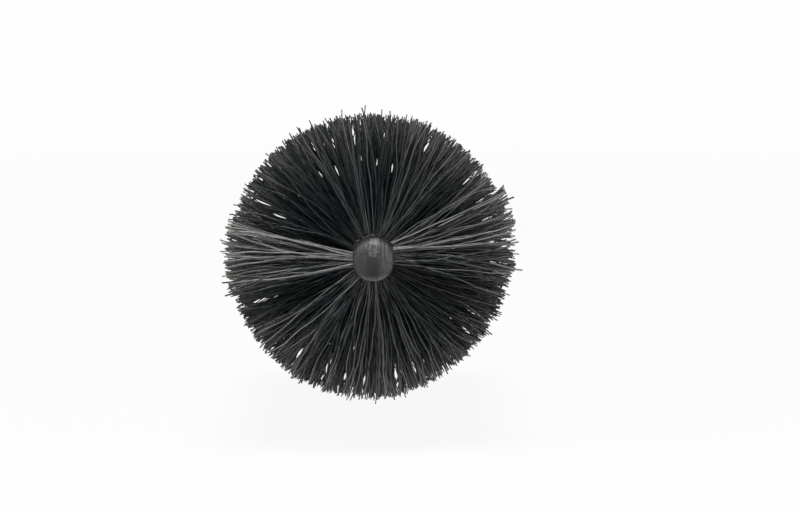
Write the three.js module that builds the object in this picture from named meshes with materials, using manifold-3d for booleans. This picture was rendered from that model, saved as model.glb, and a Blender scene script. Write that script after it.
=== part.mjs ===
// A twisted-wire tube brush: two steel wires twisted round a mat of bristles, a moulded cap on the
// tip and a moulded handle with a hanging eye. It lies on its side, as such a brush is put down.
//
// The brush is built along its own axis, which is +Y from the tip (y = 0) to the handle's end, with
// +X to the right and +Z up. At the end it is turned and lifted so that it rests on the plane z = 0.

import * as THREE from "three";
import { mergeVertices } from "three/addons/utils/BufferGeometryUtils.js";
import Module from "manifold-3d";

// Driving dimensions, in millimetres

// Clearance between pieces that grip or seat on each other
const SEAT_GAP = 0.3;

// Bristle head
const BRUSH_DIAMETER = 67;
const HEAD_LENGTH = 110;
const BRISTLE_THICKNESS = 0.5;
const MAT_THICKNESS = 0.6;
const MAT_CLEARANCE = 0.5;
const TRIM_SCATTER = 2;
const RESTING_FLAT = 1.5;

// Twisted stem
const WIRE_DIAMETER = 2.5;
const TWIST_PITCH = 14;
const STEM_LENGTH = 85;
const CLOSE_UP_LENGTH = 10;

// Tip cap
const CAP_LENGTH = 10;
const CAP_WALL = 1.5;
const CAP_DOME_HEIGHT = 4;
const CAP_FLAT_DEPTH = 0.7;
const CAP_BEAD_HEIGHT = 0.5;
const CAP_BEAD_LENGTH = 1.4;
const CAP_BEAD_CHAMFER = 0.35;
const CAP_TIP_WALL = 4.5;

// Handle
const HANDLE_LENGTH = 125;
const HANDLE_WALL = 4;
const HANDLE_EDGE_RADIUS = 2.5;
const HANDLE_SHOULDER_LENGTH = 26;
const NECK_LENGTH = 16;
const NECK_WALL = 2.2;
const NECK_CHAMFER = 1;
const EYE_WIDTH = 9;
const EYE_LENGTH = 22;
const EYE_WALL = 8.5;
const SOCKET_END_WALL = 35;

// Counts and angles
const BRISTLE_SECTIONS = ["front", "front_middle", "rear_middle", "rear"];
const STRAND_PAIRS_PER_SECTION = 50;
const STRAND_SHARE = 0.65;
const FAN_SCATTER = THREE.MathUtils.degToRad(5);
const WIRE_STEPS_PER_TURN = 10;
const WIRE_LENGTH_SAMPLES = 3000;
const WIRE_SIDES = 6;
const ROUND_SIDES = 32;
const PLAN_CURVE_STEPS = 8;
const EDGE_STEPS = 3;
const DOME_RINGS = 6;
const DOME_SQUARENESS = 2.5;

// Sizes that follow from the driving dimensions

const bristleTipRadius = BRUSH_DIAMETER / 2;
const wireRadius = WIRE_DIAMETER / 2;
const grippingOffset = wireRadius + MAT_THICKNESS / 2 + MAT_CLEARANCE;
const closedOffset = wireRadius + SEAT_GAP;
const grippingStemRadius = grippingOffset + wireRadius;
const closedStemRadius = closedOffset + wireRadius;

const capSocketRadius = grippingStemRadius + SEAT_GAP;
const capRadius = capSocketRadius + CAP_WALL;
const handleSocketRadius = closedStemRadius + SEAT_GAP;
const neckRadius = handleSocketRadius + NECK_WALL;
const handleThickness = 2 * (handleSocketRadius + HANDLE_WALL);
const handleWidth = EYE_WIDTH + 2 * EYE_WALL;

// Places along the axis, from the tip
const headFront = CAP_LENGTH + SEAT_GAP;
const headBack = headFront + HEAD_LENGTH;
const handleFront = headBack + STEM_LENGTH;
const handleBack = handleFront + HANDLE_LENGTH;
const gripFront = handleFront + NECK_LENGTH;
const eyeBack = handleBack - EYE_WALL;
const eyeFront = eyeBack - EYE_LENGTH;
const handleSocketBack = eyeFront - SOCKET_END_WALL;
const wireFront = CAP_TIP_WALL + SEAT_GAP + wireEndReach(grippingOffset);
const wireBack = handleSocketBack - SEAT_GAP - wireEndReach(closedOffset);

// The brush rests on the bristles at the head's back and on the handle's far lower edge.
const restingRise = bristleTipRadius - RESTING_FLAT - handleThickness / 2;
const restingRun = handleBack - HANDLE_EDGE_RADIUS - headBack;
const restingTilt = Math.atan2(restingRise, restingRun);

const wasm = await Module();
wasm.setup();

// Direction of the bristle mat at a place along the axis. It turns anticlockwise, seen from the tip.
function twistAngle(y) {
  return (2 * Math.PI * (y - headFront)) / TWIST_PITCH;
}

// How far a wire's square-cut end reaches along the axis past the end of its centre line
function wireEndReach(offset) {
  const slope = Math.atan2(2 * Math.PI * offset, TWIST_PITCH);
  return wireRadius * Math.sin(slope);
}

// Height of a point of the brush above the plane that the brush rests on
function heightAboveRest(point) {
  const along = point.y - headBack;
  const up = point.z + bristleTipRadius - RESTING_FLAT;
  return up * Math.cos(restingTilt) - along * Math.sin(restingTilt);
}

// Joining and cutting

function solidOf(geometry) {
  const bare = geometry.clone();
  bare.deleteAttribute("normal");
  bare.deleteAttribute("uv");
  const merged = mergeVertices(bare);
  return new wasm.Manifold(
    new wasm.Mesh({
      numProp: 3,
      vertProperties: merged.attributes.position.array,
      triVerts: new Uint32Array(merged.index.array),
    }),
  );
}

function geometryOf(solid) {
  const mesh = solid.getMesh();
  const geometry = new THREE.BufferGeometry();
  geometry.setAttribute("position", new THREE.BufferAttribute(mesh.vertProperties, 3));
  geometry.setIndex(new THREE.BufferAttribute(mesh.triVerts, 1));
  geometry.computeVertexNormals();
  return geometry;
}

// A blind round hole along the axis, from one place to another
function roundHole(radius, from, to) {
  const hole = new THREE.CylinderGeometry(radius, radius, to - from, ROUND_SIDES);
  return solidOf(hole.translate(0, (from + to) / 2, 0));
}

// Twisted stem

// One wire's centre line. Both wires stand off the axis far enough to grip the bristle mat, and
// close up on each other behind the head.
class TwistedWireLine extends THREE.Curve {
  constructor(side) {
    super();
    this.side = side;
    this.arcLengthDivisions = WIRE_LENGTH_SAMPLES;
  }

  getPoint(share, target = new THREE.Vector3()) {
    const y = THREE.MathUtils.lerp(wireFront, wireBack, share);
    const closing = THREE.MathUtils.smoothstep(y, headBack, headBack + CLOSE_UP_LENGTH);
    const offset = THREE.MathUtils.lerp(grippingOffset, closedOffset, closing) * this.side;
    const angle = twistAngle(y) + Math.PI / 2;
    return target.set(offset * Math.cos(angle), y, offset * Math.sin(angle));
  }
}

function wireGeometry(side) {
  const section = new THREE.Shape().absarc(0, 0, wireRadius, 0, 2 * Math.PI);
  const turns = (wireBack - wireFront) / TWIST_PITCH;
  return new THREE.ExtrudeGeometry(section, {
    extrudePath: new TwistedWireLine(side),
    steps: Math.ceil(turns * WIRE_STEPS_PER_TURN),
    curveSegments: WIRE_SIDES / 2,
  });
}

// Bristles

// The bristle mat is a twisted strip between the two wires. At a place along the axis, these are the
// directions outwards in it and square through it.
function matDirections(y) {
  const angle = twistAngle(y);
  const outward = new THREE.Vector3(Math.cos(angle), 0, Math.sin(angle));
  const through = new THREE.Vector3(-Math.sin(angle), 0, Math.cos(angle));
  return { outward, through };
}

// The four corners of the mat's section, in order round it
function matCorners(y) {
  const { outward, through } = matDirections(y);
  const signs = [[1, 1], [-1, 1], [-1, -1], [1, -1]];
  return signs.map(([side, face]) =>
    new THREE.Vector3(0, y, 0)
      .addScaledVector(outward, side * grippingStemRadius)
      .addScaledVector(through, (face * MAT_THICKNESS) / 2),
  );
}

// The four corners of a strand's tip, in the order of its root's corners: both faces of the mat at
// the strand's front, then both at its back. A corner that would go through the plane that the brush
// rests on stops there, as if trimmed by it.
function strandTip(root, y, side, strand) {
  const [fan, trim] = [0, 1].map((draw) => THREE.MathUtils.seededRandom(2 * strand + draw));
  const angle = twistAngle(y) + FAN_SCATTER * (fan - 0.5);
  const length = side * (bristleTipRadius - TRIM_SCATTER * trim);
  const centre = new THREE.Vector3(length * Math.cos(angle), 0, length * Math.sin(angle));
  const { through } = matDirections(y);
  const faces = [side, -side, -side, side];
  return root.map((corner, index) => {
    const tip = centre.clone().addScaledVector(through, (faces[index] * BRISTLE_THICKNESS) / 2);
    tip.y = corner.y;
    const rootHeight = heightAboveRest(corner);
    const tipHeight = heightAboveRest(tip);
    const kept = tipHeight < 0 ? rootHeight / (rootHeight - tipHeight) : 1;
    return corner.clone().lerp(tip, kept);
  });
}

// One stretch of the head: a slice of the mat with a strand grown from each of its edges at every
// step and a bare stretch of edge between strands, as one closed body
function bristleGeometry(section) {
  const points = [];
  const triangles = [];
  const addCorners = (corners) => corners.map((corner) => points.push(corner) - 1);
  const addQuad = (a, b, c, d) => triangles.push(a, b, c, a, c, d);
  const sectionLength = HEAD_LENGTH / BRISTLE_SECTIONS.length;
  const stepLength = (sectionLength - SEAT_GAP) / STRAND_PAIRS_PER_SECTION;
  const front = headFront + section * sectionLength;

  let here = addCorners(matCorners(front));
  addQuad(...here);
  const addSlice = (back, closeEdge) => {
    const next = addCorners(matCorners(back));
    addQuad(here[1], here[0], next[0], next[1]);
    addQuad(here[3], here[2], next[2], next[3]);
    closeEdge([here[0], here[3], next[3], next[0]], 1);
    closeEdge([here[2], here[1], next[1], next[2]], -1);
    here = next;
  };
  const addStrand = (root, y, side, strand) => {
    const rootCorners = root.map((index) => points[index]);
    const tip = addCorners(strandTip(rootCorners, y, side, strand));
    root.forEach((corner, index) => {
      const after = (index + 1) % root.length;
      addQuad(corner, root[after], tip[after], tip[index]);
    });
    addQuad(...tip);
  };
  for (let step = 0; step < STRAND_PAIRS_PER_SECTION; step++) {
    const pair = section * STRAND_PAIRS_PER_SECTION + step;
    const strandFront = front + step * stepLength;
    const strandBack = strandFront + STRAND_SHARE * stepLength;
    const middle = (strandFront + strandBack) / 2;
    addSlice(strandBack, (root, side) => {
      addStrand(root, middle, side, side > 0 ? 2 * pair : 2 * pair + 1);
    });
    addSlice(strandFront + stepLength, (edge) => addQuad(...edge));
  }
  addQuad(...here.reverse());

  const geometry = new THREE.BufferGeometry().setFromPoints(points);
  geometry.setIndex(triangles);
  geometry.computeVertexNormals();
  return geometry;
}

// Tip cap

// A domed cap with a flat on each side, a round bead at its foot and a blind socket for the wires
function capGeometry() {
  const profile = [];
  for (let ring = 0; ring <= DOME_RINGS; ring++) {
    const angle = (ring / DOME_RINGS) * (Math.PI / 2);
    const radius = capRadius * Math.sin(angle) ** (2 / DOME_SQUARENESS);
    const depth = CAP_DOME_HEIGHT * (1 - Math.abs(Math.cos(angle)) ** (2 / DOME_SQUARENESS));
    profile.push(new THREE.Vector2(radius, depth));
  }
  const beadRadius = capRadius + CAP_BEAD_HEIGHT;
  const beadFront = CAP_LENGTH - CAP_BEAD_LENGTH;
  profile.push(
    new THREE.Vector2(capRadius, beadFront),
    new THREE.Vector2(beadRadius, beadFront + CAP_BEAD_CHAMFER),
    new THREE.Vector2(beadRadius, CAP_LENGTH - CAP_BEAD_CHAMFER),
    new THREE.Vector2(beadRadius - CAP_BEAD_CHAMFER, CAP_LENGTH),
    new THREE.Vector2(0, CAP_LENGTH),
  );
  let cap = solidOf(new THREE.LatheGeometry(profile, ROUND_SIDES));
  for (const side of [-1, 1]) {
    const cutter = new THREE.BoxGeometry(capRadius, 2 * beadFront, 4 * capRadius);
    cutter.translate(side * (capRadius - CAP_FLAT_DEPTH + capRadius / 2), 0, 0);
    cap = cap.subtract(solidOf(cutter));
  }
  const socket = roundHole(capSocketRadius, CAP_TIP_WALL, CAP_LENGTH + SEAT_GAP);
  return geometryOf(cap.subtract(socket));
}

// Handle

// The grip's plan: a straight-sided paddle that narrows to the neck and ends in a half round,
// with a slot for hanging it up
function gripPlan() {
  const halfWidth = handleWidth / 2;
  const endCentre = handleBack - halfWidth;
  const shoulder = gripFront + HANDLE_SHOULDER_LENGTH;
  const middle = (gripFront + shoulder) / 2;
  const plan = new THREE.Shape();
  plan.moveTo(neckRadius, gripFront);
  plan.bezierCurveTo(neckRadius, middle, halfWidth, middle, halfWidth, shoulder);
  plan.lineTo(halfWidth, endCentre);
  plan.absarc(0, endCentre, halfWidth, 0, Math.PI);
  plan.lineTo(-halfWidth, shoulder);
  plan.bezierCurveTo(-halfWidth, middle, -neckRadius, middle, -neckRadius, gripFront);
  plan.closePath();

  const eyeRadius = EYE_WIDTH / 2;
  const eye = new THREE.Path();
  eye.absarc(0, eyeBack - eyeRadius, eyeRadius, 0, Math.PI);
  eye.absarc(0, eyeFront + eyeRadius, eyeRadius, Math.PI, 2 * Math.PI);
  eye.closePath();
  plan.holes.push(eye);
  return plan;
}

// A grip with rounded edges, joined to a tapered round neck and bored for the twisted wires
function handleGeometry() {
  const flatThickness = handleThickness - 2 * HANDLE_EDGE_RADIUS;
  const grip = new THREE.ExtrudeGeometry(gripPlan(), {
    depth: flatThickness,
    bevelEnabled: true,
    bevelThickness: HANDLE_EDGE_RADIUS,
    bevelSize: HANDLE_EDGE_RADIUS,
    bevelOffset: -HANDLE_EDGE_RADIUS,
    bevelSegments: EDGE_STEPS,
    curveSegments: PLAN_CURVE_STEPS,
  }).translate(0, 0, -flatThickness / 2);
  const neckBack = gripFront + HANDLE_EDGE_RADIUS;
  const neck = new THREE.LatheGeometry(
    [
      new THREE.Vector2(0, handleFront),
      new THREE.Vector2(neckRadius - NECK_CHAMFER, handleFront),
      new THREE.Vector2(neckRadius, handleFront + NECK_CHAMFER),
      new THREE.Vector2(handleThickness / 2 - SEAT_GAP, neckBack),
      new THREE.Vector2(0, neckBack + neckRadius),
    ],
    ROUND_SIDES,
  );
  const socket = roundHole(handleSocketRadius, handleFront - SEAT_GAP, handleSocketBack);
  return geometryOf(solidOf(grip).add(solidOf(neck)).subtract(socket));
}

// Assembly

const galvanisedSteel = new THREE.MeshStandardMaterial({ color: 0xb4b6b8, roughness: 0.35, metalness: 1 });
const bristlePlastic = new THREE.MeshStandardMaterial({ color: 0x1f2021, roughness: 0.5, metalness: 0 });
const capPlastic = new THREE.MeshStandardMaterial({ color: 0x3a3a3b, roughness: 0.45, metalness: 0 });
const handlePlastic = new THREE.MeshStandardMaterial({ color: 0x242526, roughness: 0.55, metalness: 0 });

function piece(name, geometry, material) {
  const mesh = new THREE.Mesh(geometry, material);
  mesh.name = name;
  return mesh;
}

const brush = new THREE.Group();
brush.add(piece("tip_cap", capGeometry(), capPlastic));
brush.add(piece("stem_wire_upper", wireGeometry(1), galvanisedSteel));
brush.add(piece("stem_wire_lower", wireGeometry(-1), galvanisedSteel));
BRISTLE_SECTIONS.forEach((name, section) => {
  brush.add(piece(`${name}_bristles`, bristleGeometry(section), bristlePlastic));
});
brush.add(piece("handle", handleGeometry(), handlePlastic));

// The brush lies on the plane z = 0, centred on the origin in plan.
brush.rotation.x = -restingTilt;
const lying = new THREE.Group();
lying.add(brush);
lying.updateMatrixWorld(true);
const extent = new THREE.Box3().setFromObject(brush, true);
const centre = extent.getCenter(new THREE.Vector3());
brush.position.set(-centre.x, -centre.y, -extent.min.z);

export default lying;
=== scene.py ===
"""Dresses the wire tube brush: its bristles, twisted wires, tip cap and handle, and a white studio.

Lengths are metres. Pieces are shaped in the brush's own frame, which runs along +Y from the tip at
y = 0, with +X to the right and +Z up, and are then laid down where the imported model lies.
"""

import logging
import math
from abc import ABC, abstractmethod
from dataclasses import asdict, dataclass, field
from enum import Enum
from functools import partial
from typing import Any, Callable, Iterable, Optional, Union

import bmesh
import bpy
from bpy.types import ID, Material, Mesh, Node, NodeSocket, NodeTree, Object, World
from mathutils import Matrix, Vector, noise


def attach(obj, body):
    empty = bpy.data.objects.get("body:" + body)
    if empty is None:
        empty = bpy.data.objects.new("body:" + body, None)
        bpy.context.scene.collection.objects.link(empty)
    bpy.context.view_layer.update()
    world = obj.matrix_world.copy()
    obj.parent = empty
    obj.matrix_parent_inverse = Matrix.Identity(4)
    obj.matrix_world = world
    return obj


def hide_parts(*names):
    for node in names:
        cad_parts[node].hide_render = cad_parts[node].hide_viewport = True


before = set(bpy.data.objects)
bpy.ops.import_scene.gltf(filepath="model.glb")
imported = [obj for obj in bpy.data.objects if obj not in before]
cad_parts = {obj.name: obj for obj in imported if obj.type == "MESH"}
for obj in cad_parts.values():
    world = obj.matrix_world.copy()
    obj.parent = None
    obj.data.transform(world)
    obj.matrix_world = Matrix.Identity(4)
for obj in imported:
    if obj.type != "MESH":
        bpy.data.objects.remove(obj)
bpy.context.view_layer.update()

log = logging.getLogger("tube_brush")

MM = 0.001
TAU = 2.0 * math.pi
TOUCHING = 0.001 * MM
BODY = "root"
MATH = "ShaderNodeMath"
VECTOR = "ShaderNodeVectorMath"
RANGE = "ShaderNodeMapRange"
MIX = "ShaderNodeMix"
NOISE = "ShaderNodeTexNoise"
JOIN = "ShaderNodeCombineXYZ"
SPLIT = "ShaderNodeSeparateXYZ"
WHITE = (1.0, 1.0, 1.0, 1.0)
NOISE_MIDDLE = (0.5, 0.5, 0.5)
Linkable = Union[Node, NodeSocket]
Span = tuple[float, float]
Triple = tuple[float, float, float]
SOCKETS = {int: "Int", float: "Float", tuple: "Vector", Material: "Material"}


class Slot(Enum):
    """The record's material slots."""

    BRISTLE = "bristle_nylon"
    CAP = "cap_plastic"
    WIRE = "wire_steel"
    HANDLE = "handle_plastic"


def linear(colour: str) -> tuple[float, float, float, float]:
    """Turns an sRGB hex colour to linear light.

    Args:
        colour: The colour, as in "#1f2021".

    Returns:
        Linear red, green and blue, and an alpha of 1.
    """
    channels = [int(colour[place : place + 2], 16) / 255.0 for place in (1, 3, 5)]
    red, green, blue = (
        value / 12.92 if value <= 0.04045 else ((value + 0.055) / 1.055) ** 2.4
        for value in channels
    )
    return red, green, blue, 1.0


def add_node(
    tree: NodeTree,
    kind: str,
    inputs: Union[dict[str, Any], list[Any], None] = None,
    **settings: Any,
) -> Node:
    """Adds a node to a tree with its settings and links.

    Args:
        tree: The tree that gets the node.
        kind: The node type's identifier.
        inputs: A value, or a node or socket to link, for each input by name, or for the first
            inputs in order.
        settings: The node's own properties, such as its operation.

    Returns:
        The new node.
    """
    node = tree.nodes.new(kind)
    for name, value in settings.items():
        setattr(node, name, value)
    live = [socket for socket in node.inputs if socket.enabled]
    pairs = enumerate(inputs) if isinstance(inputs, list) else (inputs or {}).items()
    for key, value in pairs:
        named = [socket for socket in live if key in (socket.identifier, socket.name)]
        socket = live[key] if isinstance(key, int) else named[0]
        if isinstance(value, Node):
            value = next(output for output in value.outputs if output.enabled)
        if isinstance(value, NodeSocket):
            tree.links.new(value, socket)
        else:
            socket.default_value = value
    return node


def cleared_tree(owner: Union[Material, World]) -> NodeTree:
    """Empties the node tree of a material or a world.

    Args:
        owner: The material or world.

    Returns:
        Its tree, with no nodes in it.
    """
    owner.use_nodes = True
    owner.node_tree.nodes.clear()
    return owner.node_tree


@dataclass(frozen=True)
class BrushPlace:
    """Where the brush lies on the floor, tip up."""

    tip: Triple = (0.00002, -0.164199, 0.046105)
    tilt: float = math.radians(6.842773)

    def matrix(self) -> Matrix:
        """Gives the brush's own frame in the part's frame."""
        return Matrix.Translation(self.tip) @ Matrix.Rotation(-self.tilt, 4, "X")


@dataclass(frozen=True)
class BrushSizes:
    """The sizes and places along the axis that the sub-assemblies share."""

    head_front: float = 10.3 * MM
    head_length: float = 110.0 * MM
    stem_length: float = 85.0 * MM
    twist_pitch: float = 14.0 * MM
    wire_diameter: float = 2.5 * MM
    gripping_offset: float = 2.05 * MM
    closed_offset: float = 1.55 * MM
    close_up_length: float = 10.0 * MM

    @property
    def head_back(self) -> float:
        """Gives the place where the bristles end."""
        return self.head_front + self.head_length

    @property
    def handle_front(self) -> float:
        """Gives the place of the handle's mouth."""
        return self.head_back + self.stem_length


PLACE = BrushPlace()
SIZES = BrushSizes()


# Finishes


class Finish(ABC):
    """A procedural material, named for what the real one is."""

    name: str

    def material(self) -> Material:
        """Makes the material.

        Returns:
            The finished material.
        """
        material = bpy.data.materials.new(self.name)
        tree = cleared_tree(material)
        surface = add_node(tree, "ShaderNodeBsdfPrincipled", self.patterns(tree))
        add_node(tree, "ShaderNodeOutputMaterial", {"Surface": surface})
        return material

    @abstractmethod
    def patterns(self, tree: NodeTree) -> dict[str, Any]:
        """Adds the nodes of the finish.

        Args:
            tree: The material's tree.

        Returns:
            What goes in each socket of the Principled shader.
        """


@dataclass(frozen=True)
class BlackMonofilament(Finish):
    """Black polyamide bristle, extruded and stretched.

    It is smooth along its length, so each bristle catches a long thin light. The cut tips are
    paler and warmer than the cold black further in, and the tips of strands further back in
    the head are painted darker, as painted shade. The bristles at the very front, which rub
    first, are worn grey, most of all near the stem, where a painted sheen is added. The grey
    is also painted light, and it fades with depth into the head as painted shade.

    A span of places runs from 0 at the stem to 1 at the tip, and a span of strands from the
    blackest to the palest.
    """

    name: str = "black_polyamide_monofilament"
    root: str = "#001218"
    shaded_inner_tip: str = "#12242a"
    tip: str = "#6c6861"
    scuffed: str = "#a4a4a3"
    roughness: Span = (0.13, 0.40)
    rough_places: Span = (0.7, 1.0)
    pale_places: Span = (0.45, 1.0)
    pale_power: float = 2.0
    pale_strands: Span = (0.2, 0.9)
    paleness: Span = (0.35, 1.5)
    scuffed_strands: Span = (0.45, 0.75)
    scuffing: Span = (0.05, 1.0)
    handled_places: Span = (0.15, 0.9)
    handling: Span = (1.0, 0.68)
    scuff_size: float = 1.5 * MM
    scuff_noise: Span = (0.3, 0.6)
    least_scuff: float = 0.6
    sheen_places: Span = (0.14, 0.30)
    dust: float = 0.14
    ior: float = 1.53
    specular: float = 0.47

    def patterns(self, tree: NodeTree) -> dict[str, Any]:
        """Grades the colour from root to tip and varies it from strand to strand.

        Args:
            tree: The material's tree.

        Returns:
            What goes in each socket of the Principled shader.
        """
        add = partial(add_node, tree)
        along, strand, wear, front, tuft = (
            add("ShaderNodeAttribute", attribute_name=label).outputs["Fac"]
            for label in ("along", "strand", "wear", "front", "tuft")
        )
        toward_tip = add(RANGE, [along, *self.pale_places])
        late = add(MATH, [toward_tip, self.pale_power], operation="POWER")
        paling = add(RANGE, [strand, *self.pale_strands, *self.paleness])
        pale = add(MATH, [late, paling], operation="MULTIPLY", use_clamp=True)
        # Tips of strands further back in the head take the darker inner colour, as painted shade
        tip = add(MIX, [front, linear(self.shaded_inner_tip), linear(self.tip)], data_type="RGBA")
        graded = add(MIX, [pale, linear(self.root), tip], data_type="RGBA")

        # Worn grey and painted light on the front strands and tufts, and a painted sheen near the
        # stem
        greyed_and_lit = add(MATH, [wear, tuft], operation="MAXIMUM")
        handled = add(RANGE, [along, *self.handled_places, *self.handling])
        outward = add(MATH, [greyed_and_lit, handled], operation="MULTIPLY")
        uneven = add(RANGE, [strand, *self.scuffed_strands, *self.scuffing])
        rubbed = add(MATH, [outward, uneven], operation="MULTIPLY")
        coords = add("ShaderNodeTexCoord").outputs["Object"]
        scuff = add(NOISE, {"Vector": coords, "Scale": 1.0 / self.scuff_size, "Detail": 2.0})
        patchy = add(RANGE, [scuff, *self.scuff_noise, self.least_scuff])
        # Painted sheen on the front strands near the stem
        dust = add(RANGE, [along, *self.sheen_places, self.dust, 0.0])
        painted_sheen = add(MATH, [dust, front], operation="MULTIPLY")
        scuffs_and_light = add(MATH, [rubbed, patchy, painted_sheen], operation="MULTIPLY_ADD")
        return {
            "Base Color": add(MIX, [scuffs_and_light, graded, linear(self.scuffed)], data_type="RGBA"),
            "Roughness": add(RANGE, [along, *self.rough_places, *self.roughness]),
            "IOR": self.ior,
            "Specular IOR Level": self.specular,
        }


def between(tree: NodeTree, value: Linkable, limits: Span, soft: float) -> Node:
    """Adds a soft-edged test of whether a value lies between two others.

    Args:
        tree: The material's tree.
        value: The value to test.
        limits: The lower and the upper limit.
        soft: How far each edge fades out on both sides.

    Returns:
        The node that gives 1 inside the limits and 0 outside.
    """
    low, high = limits
    rise = add_node(tree, RANGE, [value, low - soft, low + soft])
    fall = add_node(tree, RANGE, [value, high + soft, high - soft])
    return add_node(tree, MATH, [rise, fall], operation="MULTIPLY")


@dataclass(frozen=True)
class SatinBlackMoulding(Finish):
    """Black polypropylene tip cap, injection moulded in a lightly worn tool.

    The skin is satin, with flow lines that run up and down the face. Its colour carries painted
    light: the face is painted lighter toward its top and its right side, a wedge and a small
    square at its top are painted highlights, and the rim below is a painted reflection. The
    lower middle and the shoulder of the face are painted shade, and pale specks on the bead are
    painted glints.
    """

    name: str = "satin_black_polypropylene"
    colour: str = "#151516"
    scuffed: str = "#7c7b7a"
    roughness: Span = (0.36, 0.50)
    ior: float = 1.49
    specular: float = 0.38
    line_width: float = 0.24 * MM
    line_length: float = 9.0 * MM
    line_noise: Span = (0.3, 0.7)
    streaks: Span = (0.45, 1.55)
    line_strength: float = 0.35
    line_depth: float = 0.06 * MM
    patch_size: float = 0.62 * MM
    patch_noise: Span = (0.35, 0.60)
    mottle: Span = (0.7, 1.2)
    wander: float = 0.6 * MM
    edge: float = 0.22 * MM
    face: float = 5.0 * MM
    painted_top_light: Span = (0.06, 0.40)
    painted_right_light: float = 0.20
    column: Span = (-1.45 * MM, 1.5 * MM)
    column_edge: float = 0.704 * MM
    column_foot: float = -3.0 * MM
    column_top: float = 0.5
    column_painted_shade: float = 0.85
    wedge_foot: float = 0.4 * MM
    wedge_top: float = 3.2 * MM
    wedge_width: float = 0.5 * MM
    wedge_slope: float = 0.39
    wedge_highlight: float = 0.40
    square: Span = (-0.64 * MM, 1.3 * MM)
    square_top: float = 4.6 * MM
    square_highlight: float = 0.46
    rim: float = 4.3 * MM
    rim_below: Span = (-3.0 * MM, -4.0 * MM)
    rim_reflection: float = 0.45
    shoulder_shade: float = 0.8
    foot: float = 8.3 * MM
    speck_size: float = 0.35 * MM
    speck_noise: Span = (0.60, 0.70)

    def patterns(self, tree: NodeTree) -> dict[str, Any]:
        """Adds the flow lines, the painted light and shade on the face and the painted glints on
        the bead.

        Args:
            tree: The material's tree.

        Returns:
            What goes in each socket of the Principled shader.
        """
        add = partial(add_node, tree)
        upright = PLACE.matrix().inverted()
        coords = add(
            "ShaderNodeMapping",
            {
                "Vector": add("ShaderNodeTexCoord").outputs["Object"],
                "Location": upright.to_translation(),
                "Rotation": upright.to_euler(),
            },
        )
        stretch = (1.0 / self.line_width, 1.0 / self.line_length, 1.0 / self.line_length)
        stretched = add("ShaderNodeMapping", {"Vector": coords, "Scale": stretch})
        lines = add(NOISE, {"Vector": stretched, "Scale": 1.0, "Detail": 3.0})
        patches = add(NOISE, {"Vector": coords, "Scale": 1.0 / self.patch_size, "Detail": 3.0})
        patch = add(RANGE, [patches, *self.patch_noise])
        astray = add(VECTOR, [patches.outputs["Color"], NOISE_MIDDLE], operation="SUBTRACT")
        wander = add(VECTOR, [astray, self.wander], operation="SCALE")
        point = add(SPLIT, [add(VECTOR, [coords, wander], operation="ADD")]).outputs
        rubbed = self.rubbed(tree, point["X"], point["Z"], patch)
        # On the bead, pale specks are painted glints in place of the face's painted light
        foot = add(RANGE, [point["Y"], self.foot - self.edge, self.foot + self.edge])
        specks = add(NOISE, {"Vector": coords, "Scale": 1.0 / self.speck_size, "Detail": 1.0})
        painted_glints = add(RANGE, [specks, *self.speck_noise])
        painted_light_and_glints = add(MIX, [foot, rubbed, painted_glints], data_type="FLOAT")
        # The painted light and glints, streaked along the flow lines
        streaky = add(RANGE, [lines, *self.line_noise, *self.streaks])
        worn = add(MATH, [painted_light_and_glints, streaky], operation="MULTIPLY", use_clamp=True)
        relief = {"Height": lines, "Strength": self.line_strength, "Distance": self.line_depth}
        colours = [linear(self.colour), linear(self.scuffed)]
        return {
            "Base Color": add(MIX, [worn, *colours], data_type="RGBA"),
            "Roughness": add(RANGE, [worn, 0.0, 1.0, *self.roughness]),
            "Normal": add("ShaderNodeBump", relief),
            "IOR": self.ior,
            "Specular IOR Level": self.specular,
        }

    def rubbed(self, tree: NodeTree, x: Linkable, z: Linkable, patch: Linkable) -> Node:
        """Adds the painted light and shade on the face.

        Args:
            tree: The material's tree.
            x: The place across the face.
            z: The place up the face.
            patch: A fine mottle from 0 to 1.

        Returns:
            The node that gives how light each place is painted, from 0 to 1.
        """
        add = partial(add_node, tree)
        # Painted light: the face is lighter toward its top and its right side
        upper = add(RANGE, [z, -self.face, self.face, *self.painted_top_light])
        right = add(RANGE, [x, 0.0, self.face, 0.0, self.painted_right_light])
        sides = add(MATH, [upper, right], operation="ADD")

        # Painted shade in a column down the lower middle, darker toward its foot
        strip = between(tree, x, self.column, self.column_edge)
        low = between(tree, z, (-self.rim, self.wedge_foot), 2.0 * self.edge)
        deeper = add(RANGE, [z, self.wedge_foot, self.column_foot, self.column_top])
        column = add(MATH, [strip, low], operation="MULTIPLY")
        dark = add(MATH, [column, deeper], operation="MULTIPLY")
        kept = add(MATH, [dark, -self.column_painted_shade, 1.0], operation="MULTIPLY_ADD")
        grained = add(RANGE, [patch, 0.0, 1.0, *self.mottle])
        greyed_and_lit = add(MATH, [sides, kept], operation="MULTIPLY")
        face = add(MATH, [greyed_and_lit, grained], operation="MULTIPLY")

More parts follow.
